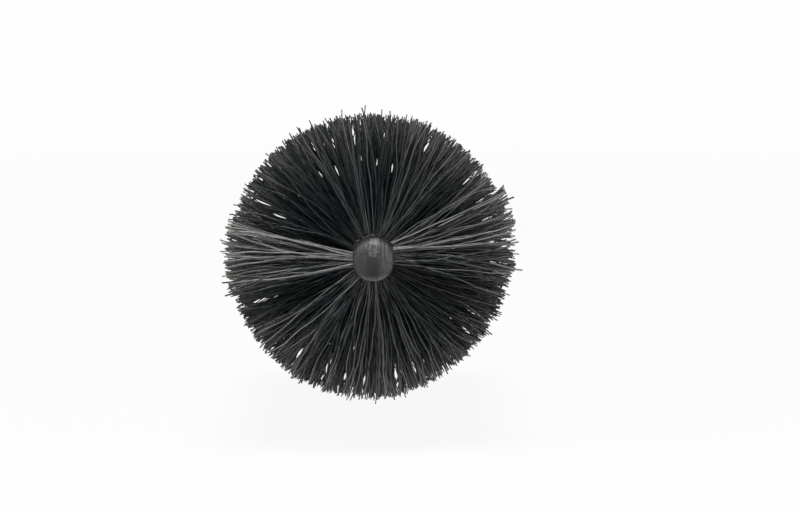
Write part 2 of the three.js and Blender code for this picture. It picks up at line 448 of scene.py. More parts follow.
        # Painted highlights in the wedge and the square, a painted reflection on the lower rim, and
        # painted shade on the shoulder
        slope = add(MATH, [z, self.wedge_slope, self.wedge_width], operation="MULTIPLY_ADD")
        inside = add(MATH, [slope, add(MATH, [x], operation="ABSOLUTE")], operation="SUBTRACT")
        flank = add(RANGE, [inside, -self.edge, self.edge])
        tall = between(tree, z, (self.wedge_foot, self.wedge_top), self.edge)
        wedge = add(MATH, [flank, tall], operation="MULTIPLY")
        mottled = add(MATH, [wedge, patch], operation="MULTIPLY")
        wide = between(tree, x, self.square, 0.5 * self.edge)
        high = between(tree, z, (self.wedge_top, self.square_top), 0.5 * self.edge)
        square = add(MATH, [wide, high], operation="MULTIPLY")
        out = add(VECTOR, [add(JOIN, [x, z])], operation="LENGTH").outputs["Value"]
        edge = add(RANGE, [out, self.rim - self.edge, self.rim + 2.0 * self.edge])
        below = add(RANGE, [z, *self.rim_below])
        # Painted reflection along the lower rim
        rim = add(MATH, [edge, below], operation="MULTIPLY")
        # Painted shade round the edge of the face
        shoulder = add(MATH, [edge, -self.shoulder_shade, 1.0], operation="MULTIPLY_ADD")
        grey = add(MATH, [face, shoulder], operation="MULTIPLY")
        marks = ((mottled, self.wedge_highlight), (square, self.square_highlight), (rim, self.rim_reflection))
        for mark, strength in marks:
            grey = add(MATH, [mark, strength, grey], operation="MULTIPLY_ADD")
        return grey


@dataclass(frozen=True)
class CloudedFinish(Finish):
    """A finish whose colour and gloss drift in soft clouds under a fine relief."""

    name: str
    colour: str
    dull: str
    roughness: Span
    cloud_size: float
    grain: float
    grain_strength: float
    grain_depth: float
    ior: float = 1.5
    metallic: float = 0.0
    cloud_noise: Span = (0.3, 0.7)

    def patterns(self, tree: NodeTree) -> dict[str, Any]:
        """Adds the clouds and the relief.

        Args:
            tree: The material's tree.

        Returns:
            What goes in each socket of the Principled shader.
        """
        add = partial(add_node, tree)
        coords = add("ShaderNodeTexCoord").outputs["Object"]
        cloud = add(NOISE, {"Vector": coords, "Scale": 1.0 / self.cloud_size, "Detail": 5.0})
        grain = add(NOISE, {"Vector": coords, "Scale": 1.0 / self.grain, "Detail": 2.0})
        relief = {"Height": grain, "Strength": self.grain_strength, "Distance": self.grain_depth}
        colours = [linear(self.colour), linear(self.dull)]
        return {
            "Base Color": add(MIX, [cloud, *colours], data_type="RGBA"),
            "Roughness": add(RANGE, [cloud, *self.cloud_noise, *self.roughness]),
            "Normal": add("ShaderNodeBump", relief),
            "IOR": self.ior,
            "Metallic": self.metallic,
        }


@dataclass(frozen=True)
class GalvanisedWire(CloudedFinish):
    """Zinc-coated steel wire, drawn and then twisted cold.

    The zinc is a soft grey with cloudy patches and a fine grit, which is drawn coarse enough to
    show.
    """

    name: str = "galvanised_steel_wire"
    colour: str = "#b9bcbe"
    dull: str = "#85898c"
    roughness: Span = (0.28, 0.46)
    cloud_size: float = 4.0 * MM
    grain: float = 0.35 * MM
    grain_strength: float = 0.25
    grain_depth: float = 0.05 * MM
    metallic: float = 1.0


@dataclass(frozen=True)
class GrainedBlackMoulding(CloudedFinish):
    """Black polypropylene handle, injection moulded in a spark-eroded tool.

    The grain breaks up the light evenly, and handling has left it duller in cloudy patches. The
    real grain is finer, and is drawn coarse enough to show.
    """

    name: str = "grained_black_polypropylene"
    colour: str = "#1b1c1d"
    dull: str = "#2c2c2b"
    roughness: Span = (0.46, 0.62)
    cloud_size: float = 14.0 * MM
    grain: float = 0.45 * MM
    grain_strength: float = 0.5
    grain_depth: float = 0.08 * MM
    ior: float = 1.49


# Making pieces


def new_piece(name: str, data: ID) -> Object:
    """Adds an object to the scene.

    Args:
        name: The object's name.
        data: Its mesh, curve, lamp or camera.

    Returns:
        The object, at the origin.
    """
    piece = bpy.data.objects.new(name, data)
    bpy.context.scene.collection.objects.link(piece)
    return piece


def new_facing(name: str, data: ID, place: Vector, aim: Vector) -> Object:
    """Adds a lamp or a camera that faces a point.

    Args:
        name: The object's name.
        data: The lamp or camera.
        place: Where it stands.
        aim: The point that it faces.

    Returns:
        The object.
    """
    carrier = new_piece(name, data)
    carrier.location = place
    carrier.rotation_euler = (aim - place).to_track_quat("-Z", "Y").to_euler()
    return carrier


def plain_mesh(piece: Object) -> None:
    """Turns an object and its modifiers to a plain mesh.

    Args:
        piece: The object, which keeps its name.
    """
    depsgraph = bpy.context.evaluated_depsgraph_get()
    mesh = bpy.data.meshes.new_from_object(
        piece.evaluated_get(depsgraph), preserve_all_data_layers=True, depsgraph=depsgraph
    )
    piece.modifiers.clear()
    piece.data = mesh


def dress(mesh: Mesh, finish: Finish) -> None:
    """Smooths a moulding, lays it down where the brush lies and gives it its finish.

    Args:
        mesh: The moulding in the brush's own frame.
        finish: Its finish.
    """
    mesh.shade_smooth()
    mesh.transform(PLACE.matrix())
    mesh.materials.clear()
    mesh.materials.append(finish.material())


def hand_over(piece: Object, slot: Slot, *nodes: str) -> None:
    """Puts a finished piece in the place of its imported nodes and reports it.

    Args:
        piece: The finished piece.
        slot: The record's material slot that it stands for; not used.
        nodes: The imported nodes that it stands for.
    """
    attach(piece, BODY)
    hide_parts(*nodes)
    log.info("%s: %d faces for %s", piece.name, len(piece.data.polygons), ", ".join(nodes))


def labelled(sizes: Any) -> dict[str, Any]:
    """Names the fields of a class of sizes in the way of a tree's inputs.

    Args:
        sizes: The sizes, as in tip_radius.

    Returns:
        The value of each input, as in Tip Radius.
    """
    return {name.replace("_", " ").title(): value for name, value in asdict(sizes).items()}


def new_tree(name: str, values: dict[str, Any]) -> NodeTree:
    """Starts a Geometry Nodes tree.

    Args:
        name: The tree's name.
        values: A value for each named input, which gives its socket type.

    Returns:
        The tree, with its inputs and one geometry output.
    """
    tree = bpy.data.node_groups.new(name, "GeometryNodeTree")
    for label, value in values.items():
        kind = f"NodeSocket{SOCKETS[type(value)]}"
        tree.interface.new_socket(name=label, in_out="INPUT", socket_type=kind)
    tree.interface.new_socket(name="Geometry", in_out="OUTPUT", socket_type="NodeSocketGeometry")
    return tree


def run_tree(name: str, tree: NodeTree, values: dict[str, Any]) -> Object:
    """Makes a piece from a Geometry Nodes tree.

    Args:
        name: The piece's name.
        tree: The tree.
        values: The values of the tree's named inputs.

    Returns:
        The piece, as a plain mesh.
    """
    piece = new_piece(name, bpy.data.meshes.new(name))
    modifier = piece.modifiers.new(name, "NODES")
    modifier.node_group = tree
    for item in tree.interface.items_tree:
        if item.in_out == "INPUT":
            modifier[item.identifier] = values[item.name]
    plain_mesh(piece)
    return piece


def start_line(tree: NodeTree) -> Node:
    """Adds the straight curve that a strand or a wire is shaped from.

    Args:
        tree: The tree, which has the input Steps.

    Returns:
        The node that gives the curve.
    """
    size = add_node(tree, "NodeGroupInput").outputs
    line = add_node(tree, "GeometryNodeCurvePrimitiveLine", {"End": (1.0, 0.0, 0.0)})
    return add_node(tree, "GeometryNodeResampleCurve", {"Curve": line, "Count": size["Steps"]})


def lay_down(tree: NodeTree, geometry: Linkable) -> Node:
    """Adds the node that lays a shape down where the brush lies.

    Args:
        tree: The tree, which has the inputs Tip and Tilt.
        geometry: The shape in the brush's own frame.

    Returns:
        The node that gives the shape in the part's frame.
    """
    size = add_node(tree, "NodeGroupInput").outputs
    back = add_node(tree, MATH, [size["Tilt"], -1.0], operation="MULTIPLY")
    turn = add_node(tree, JOIN, {"X": back})
    moves = {"Geometry": geometry, "Translation": size["Tip"], "Rotation": turn}
    return add_node(tree, "GeometryNodeTransform", moves)


def thicken(
    tree: NodeTree, curve: Linkable, radius: Linkable, gauge: Union[Linkable, float] = 1.0
) -> None:
    """Turns curves to smooth round strands and ends the tree with them.

    Args:
        tree: The tree, which has the inputs Sides and Material.
        curve: The curves in the part's frame.
        radius: The strands' radius.
        gauge: How many times as thick each strand is.
    """
    add = partial(add_node, tree)
    size = add("NodeGroupInput").outputs
    circle = {"Resolution": size["Sides"], "Radius": radius}
    section = add("GeometryNodeCurvePrimitiveCircle", circle)
    parts = {"Curve": curve, "Profile Curve": section, "Scale": gauge, "Fill Caps": True}
    smooth = add("GeometryNodeSetShadeSmooth", [add("GeometryNodeCurveToMesh", parts)])
    real = add("GeometryNodeRealizeInstances", [smooth])
    dressed = add("GeometryNodeSetMaterial", {"Geometry": real, "Material": size["Material"]})
    add("NodeGroupOutput", {"Geometry": dressed})


# Bristles


@dataclass(frozen=True)
class StrandSizes:
    """What all stretches of bristles share. Each field is an input of the bristle tree."""

    # The tufts at the front end
    right_fan: float = math.radians(24.0)
    left_fan: float = math.radians(15.0)
    tuft_rise: float = 1.3
    tuft_looseness: float = 0.85
    tuft_depth: float = 1.5 * MM
    tuft_reach: float = 0.5 * MM
    tuft_stoutness: float = 0.3
    right_lift: float = 1.9 * MM
    left_lift: float = -0.15 * MM
    bunch_lean: float = -0.05
    start_turn: float = -0.038

    # One strand
    steps: int = 20
    sides: int = 3
    fibre_diameter: float = 0.31 * MM
    thinnest: float = 0.86
    thickest: float = 1.14
    root_radius: float = 1.0 * MM
    tip_radius: float = 32.2 * MM
    mat_thickness: float = 1.6 * MM
    fan: float = math.radians(17.0)
    fan_width: float = 0.65
    lean: float = 0.10
    bow: float = 0.08
    curl: float = 1.6 * MM
    wave: float = 1.5 * MM
    waves: float = 5.0
    wave_growth: float = 0.5
    wave_spacing: float = 7.31

    # Clumps and partings
    drift_width: float = 4.5 * MM
    drift: float = 1.2 * MM
    clump_width: float = 2.8 * MM
    clump_draw: float = 0.06
    clump_squash: Triple = (1.0, 0.04, 1.0)
    clump_growth: float = 1.2
    partings: float = 32.0
    inner_gap: float = 0.011
    outer_gap: float = 0.017
    long_gap: float = 0.010
    parting_reach: float = 0.07

    # The cut and the worn side, and the worn grey, which also carries painted light and shade
    trim: float = 0.4 * MM
    trim_offset: Triple = (-0.60 * MM, 0.0, 0.75 * MM)
    worn: float = 0.8 * MM
    worn_toward: Triple = (0.766, 0.0, -0.643)
    worn_edge: float = 0.82
    worn_middle: float = 0.95
    stray: float = 1.9 * MM
    stray_rarity: float = 26.0
    left_stray_rarity: float = 8.0
    half_width: float = 34.4 * MM
    # The worn grey of the front strands is partly painted light. These depths set how it fades into
    # the head as painted shade on each side, and how fast the tips darken as painted shade
    front_wear: float = 0.88
    right_wear: float = 2.7 * MM
    left_wear: float = 6.0 * MM
    fade_length: float = 12.0 * MM


@dataclass
class Strands:
    """The strands of the bristle tree, as nodes and sockets, and the steps that shape them.

    Each strand is shaped in a frame of its own, with X outward from the stem, Y along it and Z
    across, and is then turned to its side of the stem.
    """

    add: Callable[..., Node]
    size: Any
    draws: list[Any]
    along: Linkable
    index: Linkable
    side: Linkable
    from_front: Linkable
    bunched: Linkable
    tuft: Linkable
    loose: Linkable
    angle: Linkable
    round_shift: float = 100.0
    opening: Span = (0.3, 0.05)
    closing: float = 0.1
    open_at_tip: float = 0.4

    def positions(self) -> Node:
        """Shapes the strands.

        A strand leaves square to the wires, swings to its own heading and is a little wavy.

        Returns:
            The node that gives each point's place in the brush's own frame.
        """
        add, size, along = self.add, self.size, self.along
        root = self.root()
        spread = self.spread()
        straight = add(VECTOR, [spread, along], operation="SCALE")
        run = add(VECTOR, [root, straight], operation="ADD")
        tip = add(VECTOR, [root, spread], operation="ADD")
        turned, turned_tip = (
            add(
                "ShaderNodeVectorRotate",
                {"Vector": point, "Angle": self.angle},
                rotation_type="Y_AXIS",
            )
            for point in (self.swayed(run, spread), tip)
        )
        moves = [self.gathering(turned_tip), self.trimming(turned_tip)]
        outer = add(MATH, [along, size["Clump Growth"]], operation="POWER")
        moved = add(VECTOR, [add(VECTOR, moves, operation="ADD"), outer], operation="SCALE")
        return add(VECTOR, [turned, moved], operation="ADD")

    def root(self) -> Node:
        """Places each strand's root between the wires.

        Returns:
            The node that gives the root in the strand's own frame.
        """
        add, size = self.add, self.size
        down = add(MATH, [size["Left Lift"], -1.0], operation="MULTIPLY")
        lift = add(MIX, [self.side, size["Right Lift"], down], data_type="FLOAT")
        half_mat = add(MATH, [size["Mat Thickness"], 0.5], operation="MULTIPLY")
        within = add(MATH, [self.draws[0]["Y"], half_mat], operation="MULTIPLY")
        across = add(MATH, [self.bunched, lift, within], operation="MULTIPLY_ADD")
        axial = add(MATH, [self.from_front, size["Head Front"]], operation="ADD")
        return add(JOIN, [size["Root Radius"], axial, across])

    def spread(self) -> Node:
        """Gives each strand its heading and its length.

        Returns:
            The node that gives the way from root to tip in the strand's own frame.
        """
        add, size, draws = self.add, self.size, self.draws
        both = add(MATH, [draws[1]["X"], draws[1]["Y"]], operation="ADD")
        wide = add(MATH, [both, size["Fan Width"]], operation="MULTIPLY")
        own_fan = add(MATH, [wide, size["Fan"]], operation="MULTIPLY")
        even = add(RANGE, [draws[1]["X"], -1.0, 1.0])
        upward = add(MATH, [even, size["Tuft Rise"]], operation="POWER")
        left_edge = add(MATH, [size["Left Fan"], -1.0], operation="MULTIPLY")
        upper_edge = add(MIX, [self.side, size["Right Fan"], left_edge], data_type="FLOAT")
        lower_edge = add(MATH, [upper_edge, -1.0], operation="MULTIPLY")
        tuft_fan = add(RANGE, [upward, 0.0, 1.0, upper_edge, lower_edge])
        fan = add(MIX, [self.bunched, own_fan, tuft_fan], data_type="FLOAT")
        leans = add(MATH, [draws[1]["Z"], draws[2]["X"]], operation="ADD")
        own_lean = add(MATH, [leans, size["Lean"]], operation="MULTIPLY")
        lean = add(MATH, [self.bunched, size["Bunch Lean"], own_lean], operation="MULTIPLY_ADD")
        outward = add(MATH, [fan], operation="COSINE")
        across = add(MATH, [fan], operation="SINE")
        heading = add(JOIN, [outward, lean, across])

        # The cut leaves most strands a little short, and a few stray far out
        short = add(MATH, [draws[2]["Y"], draws[2]["Y"]], operation="MULTIPLY")
        cut = add(MATH, [short, size["Trim"]], operation="MULTIPLY")
        evenly = add(MATH, [size["Tip Radius"], cut], operation="SUBTRACT")
        trimmed = add(MATH, [self.tuft, size["Tuft Reach"], evenly], operation="MULTIPLY_ADD")
        left_tuft = add(MATH, [self.bunched, self.side], operation="MULTIPLY")
        rarities = [size["Stray Rarity"], size["Left Stray Rarity"]]
        rarely = add(MIX, [left_tuft, *rarities], data_type="FLOAT")
        far = add(MATH, [draws[2]["Z"]], operation="ABSOLUTE")
        long = add(MATH, [far, rarely], operation="POWER")
        reach = add(MATH, [long, size["Stray"], trimmed], operation="MULTIPLY_ADD")
        length = add(MATH, [reach, size["Root Radius"]], operation="SUBTRACT")
        return add(VECTOR, [heading, length], operation="SCALE")

    def swayed(self, run: Linkable, spread: Linkable) -> Node:
        """Gives straight strands their bow, curl and waves.

        Args:
            run: Each point's place on the straight strand.
            spread: The way from root to tip.

        Returns:
            The node that gives each point's place in the strand's own frame.
        """
        add, size, along = self.add, self.size, self.along

        # The arch is 0 at both ends and 1 halfway
        rest = add(MATH, [1.0, along], operation="SUBTRACT")
        halfway = add(MATH, [along, rest], operation="MULTIPLY")
        arch = add(MATH, [halfway, 4.0], operation="MULTIPLY")
        sideways = add(VECTOR, [spread, (0.0, -1.0, -1.0)], operation="MULTIPLY")
        bowed = add(VECTOR, [sideways, size["Bow"]], operation="SCALE")
        curl_draw = add(JOIN, [0.0, self.draws[3]["X"], self.draws[3]["Y"]])
        own_curl = add(MATH, [self.loose, size["Curl"]], operation="MULTIPLY")
        curl = add(VECTOR, [curl_draw, own_curl], operation="SCALE")
        bend = add(VECTOR, [bowed, curl], operation="ADD")
        bent = add(VECTOR, [bend, arch], operation="SCALE")

        # Waves
        crest = add(MATH, [along, size["Waves"]], operation="MULTIPLY")
        apart = add(MATH, [self.index, size["Wave Spacing"]], operation="MULTIPLY")
        ripple_at = add(JOIN, [crest, apart, size["Seed"]])
        ripple = add(NOISE, {"Vector": ripple_at, "Scale": 1.0, "Detail": 0.0}).outputs["Color"]
        centred = add(VECTOR, [ripple, NOISE_MIDDLE], operation="SUBTRACT")
        crosswise = add(VECTOR, [centred, (0.0, 1.0, 1.0)], operation="MULTIPLY")
        grows = add(MATH, [along, size["Wave Growth"]], operation="POWER")
        own_wave = add(MATH, [self.loose, size["Wave"]], operation="MULTIPLY")
        height = add(MATH, [grows, own_wave], operation="MULTIPLY")
        waved = add(VECTOR, [crosswise, height], operation="SCALE")
        curved = add(VECTOR, [run, bent], operation="ADD")
        return add(VECTOR, [curved, waved], operation="ADD")

    def gathering(self, tip: Linkable) -> Node:
        """Draws neighbouring tips together in clumps that drift apart.

        Args:
            tip: Each strand's end in the brush's own frame.

        Returns:
            The node that gives the move of each strand's end.
        """
        add, size = self.add, self.size
        at = add(VECTOR, [tip, size["Clump Squash"]], operation="MULTIPLY")
        clumps = add(MATH, [1.0, size["Clump Width"]], operation="DIVIDE")
        cells = add("ShaderNodeTexVoronoi", {"Vector": at, "Scale": clumps}).outputs
        inward = add(VECTOR, [cells["Position"], at], operation="SUBTRACT")
        clumped = add(VECTOR, [inward, size["Clump Draw"]], operation="SCALE")
        drifts = add(MATH, [1.0, size["Drift Width"]], operation="DIVIDE")
        drift = add(NOISE, {"Vector": at, "Scale": drifts, "Detail": 1.0}).outputs["Color"]
        astray = add(VECTOR, [drift, NOISE_MIDDLE], operation="SUBTRACT")
        drifted = add(VECTOR, [astray, size["Drift"]], operation="SCALE")
        moved = add(VECTOR, [clumped, drifted], operation="ADD")
        return add(VECTOR, [moved, self.loose], operation="SCALE")

    def trimming(self, tip: Linkable) -> Node:
        """Sets the head's outline off centre and shortens its worn side.

        Args:
            tip: Each strand's end in the brush's own frame.

        Returns:
            The node that gives the move of each strand's end.
        """
        add, size = self.add, self.size
        across = add(VECTOR, [tip, (1.0, 0.0, 1.0)], operation="MULTIPLY")
        outward = add(VECTOR, [across], operation="NORMALIZE")
        facing = add(VECTOR, [outward, size["Worn Toward"]], operation="DOT_PRODUCT")
        inward = add(MATH, [size["Worn"], -1.0], operation="MULTIPLY")
        worn_part = [size["Worn Edge"], size["Worn Middle"]]
        shorter = add(RANGE, [facing.outputs["Value"], *worn_part, 0.0, inward])
        worn = add(VECTOR, [outward, shorter], operation="SCALE")
        return add(VECTOR, [worn, size["Trim Offset"]], operation="ADD")

    def parting(
        self, curves: Linkable, gap: Linkable, place: float, only: Optional[float] = None
    ) -> Node:
        """Opens a round of narrow partings, or a single one, that run the length of the head.

        A strand moves aside as a whole, by the side on which it passes the parting.

        Args:
            curves: The strands' curves.
            gap: The angle by which the widest parting opens on each side.
            place: How far out along the strands the partings are.
            only: The bearing of a single parting, or nothing for a round of them.

        Returns:
            The node that gives the curves with their partings.
        """
        add, size, along = self.add, self.size, self.along
        here = add("GeometryNodeInputPosition")
        exact = add(MATH, [size["Steps"], place], operation="MULTIPLY")
        step = add(MATH, [exact], operation="FLOOR")
        passing = add(MATH, [self.index, size["Steps"], step], operation="MULTIPLY_ADD")
        there = add(
            "GeometryNodeFieldAtIndex",
            {"Index": passing, "Value": here},
            data_type="FLOAT_VECTOR",
            domain="POINT",
        )
        point = add(SPLIT, [there]).outputs
        bearing = add(MATH, [point["Z"], point["X"]], operation="ARCTAN2")
        if only is None:
            # The shift keeps the partings of two rounds from lining up
            pitch = add(MATH, [TAU, size["Partings"]], operation="DIVIDE")
            share = add(MATH, [bearing, pitch], operation="DIVIDE")
            counted = add(MATH, [share, self.round_shift * place], operation="ADD")
            cells = {"W": counted, "Scale": 1.0}
            nearest = add("ShaderNodeTexVoronoi", cells, voronoi_dimensions="1D").outputs
            aside = add(MATH, [counted, nearest["W"]], operation="SUBTRACT")
            angle = add(MATH, [aside, pitch], operation="MULTIPLY")
            own_gap = add(MATH, [add(SPLIT, [nearest["Color"]]), gap], operation="MULTIPLY")
        else:
            angle = add(MATH, [bearing, only], operation="SUBTRACT")
            own_gap = gap
        off = add(MATH, [angle], operation="ABSOLUTE")
        push = add(RANGE, [off, 0.0, size["Parting Reach"], own_gap, 0.0])
        ahead = [place - distance for distance in self.opening]
        opening = add(RANGE, [along, *ahead], interpolation_type="SMOOTHSTEP")
        closing = add(RANGE, [along, place + self.closing, 1.0, 1.0, self.open_at_tip])
        open_by = add(MATH, [opening, closing], operation="MULTIPLY")
        moved = add(MATH, [push, open_by], operation="MULTIPLY")
        way = add(MATH, [angle], operation="SIGN")
        turn = add(MATH, [moved, way], operation="MULTIPLY")
        back = add(MATH, [turn, -1.0], operation="MULTIPLY")
        turned = {"Vector": here, "Angle": back}
        parted = add("ShaderNodeVectorRotate", turned, rotation_type="Y_AXIS")
        return add("GeometryNodeSetPosition", {"Geometry": curves, "Position": parted})

    def noted(self, curves: Linkable) -> Node:
        """Stores what the finish reads.

        Args:
            curves: The strands' curves.

        Returns:
            The node that gives the curves with their attributes.
        """
        add, size = self.add, self.size
        # Fades with depth into the head: the worn grey fades as painted shade, and the front fade
        # darkens the tips of strands further back, also as painted shade
        wear_depths = [size["Right Wear"], size["Left Wear"]]
        wear_depth = add(MIX, [self.side, *wear_depths], data_type="FLOAT")
        fades = []
        for depth in (wear_depth, size["Fade Length"]):
            deep = add(MATH, [self.from_front, depth], operation="DIVIDE")
            back = add(MATH, [deep, -1.0], operation="MULTIPLY")
            fades.append(add(MATH, [back], operation="EXPONENT"))
        notes = {
            "strand": add(RANGE, [self.draws[3]["Z"], -1.0, 1.0]),
            "along": self.along,
            "wear": add(MATH, [fades[0], size["Front Wear"]], operation="MULTIPLY"),
            "front": fades[1],
            "tuft": self.tuft,
        }
        for label, value in notes.items():
            curves = add(
                "GeometryNodeStoreNamedAttribute",
                {"Geometry": curves, "Name": label, "Value": value},
                data_type="FLOAT",
                domain="POINT",
            )
        return curves

    def resting(self, curves: Linkable, radius: Linkable) -> Node:
        """Presses the lowest strands on the floor and keeps the widest in the head's width.

        Args:
            curves: The strands' curves in the part's frame.
            radius: The strands' radius.

        Returns:
            The node that gives the curves as they rest.
        """
        add, size = self.add, self.size
        point = add(SPLIT, [add("GeometryNodeInputPosition")]).outputs
        other = add(MATH, [size["Half Width"], -1.0], operation="MULTIPLY")
        left_kept = add(MATH, [point["X"], other], operation="MAXIMUM")
        kept = add(MATH, [left_kept, size["Half Width"]], operation="MINIMUM")
        above = add(MATH, [point["Z"], radius], operation="MAXIMUM")
        pressed = add(JOIN, [kept, point["Y"], above])
        return add("GeometryNodeSetPosition", {"Geometry": curves, "Position": pressed})

    def gauge(self) -> Node:
        """Varies the strands' thickness, with stouter ones in the tufts.

        Returns:
            The node that gives how many times as thick each strand is.
        """
        add, size = self.add, self.size
        gauges = [size["Thinnest"], size["Thickest"]]
        own = add(RANGE, [self.draws[0]["Z"], -1.0, 1.0, *gauges])
        stout = add(MATH, [self.tuft, size["Tuft Stoutness"], 1.0], operation="MULTIPLY_ADD")
        return add(MATH, [own, stout], operation="MULTIPLY")


@dataclass
class BristleHead:
    """The spiral of bristles, in four stretches along the stem.

    At its front end the spiral starts with a tuft on each side, and on the left the bristles next
    to the tuft have slid into it. Narrow partings run through the head, and two long ones lie
    above the left tuft.
    """

    stretches: tuple[tuple[str, int], ...] = (
        ("front", 1690),
        ("front_middle", 1400),
        ("rear_middle", 1250),
        ("rear", 1150),
    )
    sizes: StrandSizes = field(default_factory=StrandSizes)
    end_bunch: int = 96
    left_gap: float = 2.0 * MM
    set_back: float = 0.6 * MM
    rounds: tuple[tuple[str, float], ...] = (("Inner Gap", 0.68), ("Outer Gap", 0.85))
    long_partings: tuple[Span, ...] = ((153.0, 0.86), (155.5, 0.70))
    seed: int = 7
    seed_step: int = 10
    finish: BlackMonofilament = field(default_factory=BlackMonofilament)

    def tree(self, values: dict[str, Any]) -> NodeTree:
        """Makes the tree that grows one stretch of bristles.

        Args:
            values: The inputs of any stretch.

        Returns:
            The Geometry Nodes tree.
        """
        tree = new_tree("bristle_fibres", values)
        add = partial(add_node, tree)
        size = add("NodeGroupInput").outputs
        copies = {"Geometry": start_line(tree), "Amount": size["Fibres"]}
        fibres = add("GeometryNodeDuplicateElements", copies, domain="SPLINE")
        strands = self.strands(tree, fibres.outputs["Duplicate Index"])
        shaped = {"Geometry": fibres, "Position": strands.positions()}
        grown = add("GeometryNodeSetPosition", shaped)
        for name, place in self.rounds:
            grown = strands.parting(grown, size[name], place)
        for bearing, place in self.long_partings:
            grown = strands.parting(grown, size["Long Gap"], place, math.radians(bearing))
        laid = lay_down(tree, strands.noted(grown))
        radius = add(MATH, [size["Fibre Diameter"], 0.5], operation="MULTIPLY")
        thicken(tree, strands.resting(laid, radius), radius, strands.gauge())
        return tree

    def strands(self, tree: NodeTree, index: Linkable) -> Strands:
        """Gives each strand its random draws, its place along the stem and its direction round it.

        Args:
            tree: The bristle tree.
            index: The strand's number. Odd ones are on the left at the front end.

        Returns:
            The values of each strand.
        """
        add = partial(add_node, tree)
        size = add("NodeGroupInput").outputs
        draws = []
        for place in range(4):
            limits = {"Min": (-1.0, -1.0, -1.0), "Max": (1.0, 1.0, 1.0)}
            seed = add(MATH, [size["Seed"], float(place)], operation="ADD")
            given = {**limits, "ID": index, "Seed": seed}
            draw = add("FunctionNodeRandomValue", given, data_type="FLOAT_VECTOR")
            draws.append(add(SPLIT, [draw]).outputs)
        side = add(MATH, [index, 2.0], operation="MODULO")
        jittered = add(MATH, [index, draws[0]["X"]], operation="ADD")
        past = add(MATH, [jittered, size["End Bunch"]], operation="SUBTRACT")
        spread_out = add(MATH, [size["Fibres"], size["End Bunch"]], operation="SUBTRACT")
        number = add(MATH, [past, draws[0]["X"]], operation="MAXIMUM")
        share = add(MATH, [number, spread_out], operation="DIVIDE")
        wound = add(MATH, [share, size["Length"], size["Front"]], operation="MULTIPLY_ADD")
        own_front = add(MATH, [wound, size["Head Front"]], operation="SUBTRACT")

        # The tufts, and the bristles on the left that have slid into theirs
        near = add(MATH, [own_front, size["Left Gap"]], operation="LESS_THAN")
        slid = add(MATH, [near, side], operation="MULTIPLY")
        first = add(MATH, [index, size["End Bunch"]], operation="LESS_THAN")
        bunched = add(MATH, [first, slid], operation="MAXIMUM")
        start = add(MATH, [size["Front"], size["Head Front"]], operation="SUBTRACT")
        deepest = add(MATH, [start, size["Tuft Depth"]], operation="ADD")
        layer = add(RANGE, [draws[3]["Z"], 1.0, -1.0, start, deepest])
        turned_at = add(MIX, [bunched, own_front, start], data_type="FLOAT")
        laps = add(MATH, [turned_at, size["Twist Pitch"]], operation="DIVIDE")
        turns = add(MATH, [laps, size["Start Turn"]], operation="ADD")
        turned = add(MATH, [side, 0.5, turns], operation="MULTIPLY_ADD")
        twice = add(MATH, [bunched, first], operation="ADD")
        return Strands(
            add=add,
            size=size,
            draws=draws,
            along=add("GeometryNodeSplineParameter").outputs["Factor"],
            index=index,
            side=side,
            from_front=add(MIX, [first, own_front, layer], data_type="FLOAT"),
            bunched=bunched,
            tuft=add(MATH, [twice, 0.5], operation="MULTIPLY"),
            loose=add(MIX, [bunched, 1.0, size["Tuft Looseness"]], data_type="FLOAT"),
            angle=add(MATH, [turned, -TAU], operation="MULTIPLY"),
        )

    def values(self, place: int, material: Material) -> dict[str, Any]:
        """Gives the tree's inputs for one stretch. Only the first one has the tufts.

        Args:
            place: The stretch's number, from the front.
            material: The bristles' material.

        Returns:
            The value of each named input.
        """
        first = place == 0
        length = SIZES.head_length / len(self.stretches)
        set_back = self.set_back if first else 0.0
        return {
            **labelled(self.sizes),
            "Fibres": self.stretches[place][1],
            "End Bunch": self.end_bunch if first else 0,
            "Left Gap": self.left_gap if first else 0.0,
            "Seed": self.seed + self.seed_step * place,
            "Front": SIZES.head_front + place * length + set_back,
            "Length": length - set_back,
            "Head Front": SIZES.head_front,
            "Twist Pitch": SIZES.twist_pitch,
            "Tip": PLACE.tip,
            "Tilt": PLACE.tilt,
            "Material": material,
        }

    def build(self) -> None:
        """Grows the four stretches and hands them over."""
        material = self.finish.material()
        tree = self.tree(self.values(0, material))
        for place, (name, _) in enumerate(self.stretches):
            piece = run_tree(f"{name}_bristle_fibres", tree, self.values(place, material))
            hand_over(piece, Slot.BRISTLE, f"{name}_bristles")


# Twisted stem


